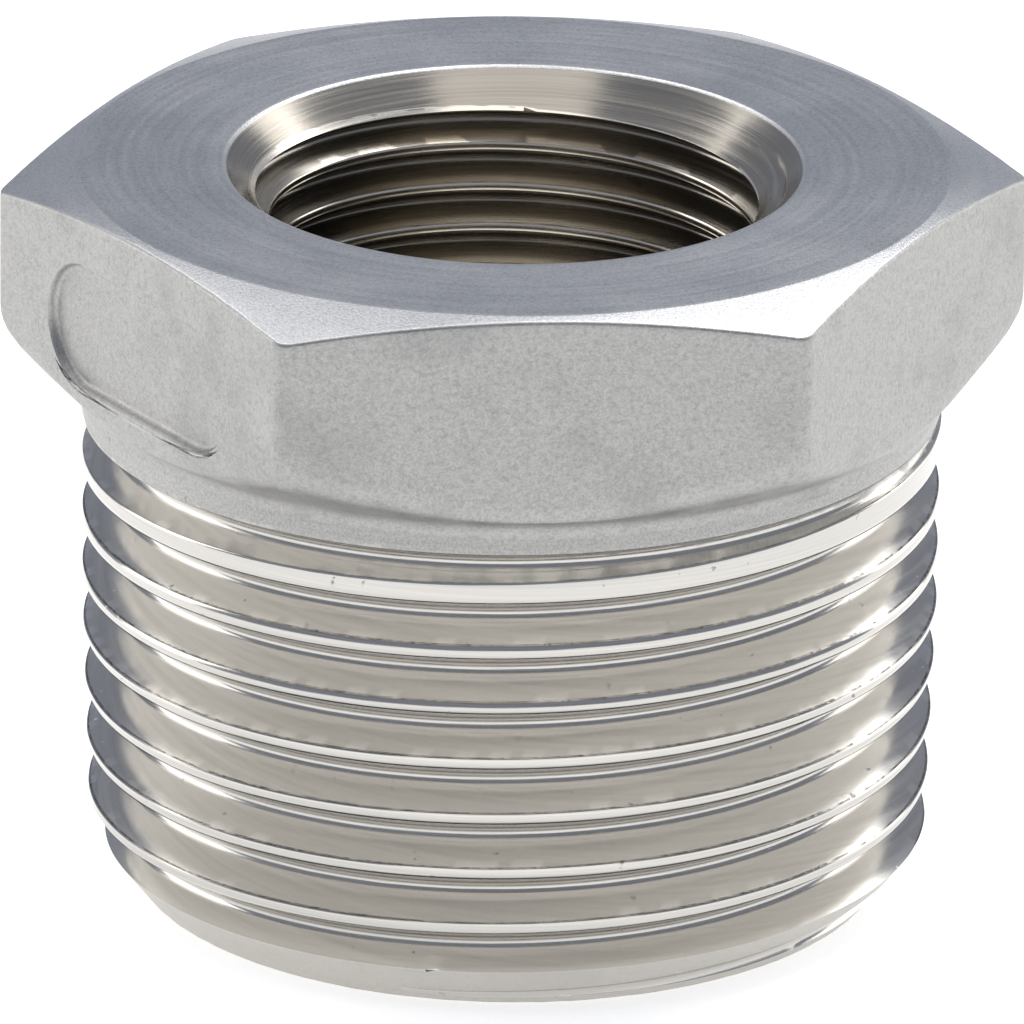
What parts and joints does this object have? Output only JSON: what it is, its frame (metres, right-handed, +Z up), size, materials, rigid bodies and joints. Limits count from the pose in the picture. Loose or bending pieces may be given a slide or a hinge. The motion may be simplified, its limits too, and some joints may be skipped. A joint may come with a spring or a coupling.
{
  "type": "hexagon reducing bush",
  "caption": "Steel hexagon reducing bush that joins a smaller threaded pipe to a larger threaded port: taper pipe thread outside, parallel pipe thread inside.",
  "frame": {"origin": "centre of the threaded end face, which the bush stands on", "axes": "+Z up along the common axis of both threads, from the threaded end to the head; +X through one corner of the hexagon, so the flats face azimuths 30, 90, 150, 210, 270 and 330 degrees"},
  "size_m": [0.0314, 0.0274, 0.023],
  "materials": {
    "stainless": "matte cast flats, fine machined top face and bright machined threads"
  },
  "bodies": {
    "root": {"reducing_bush": "stainless"}
  },
  "joints": []
}
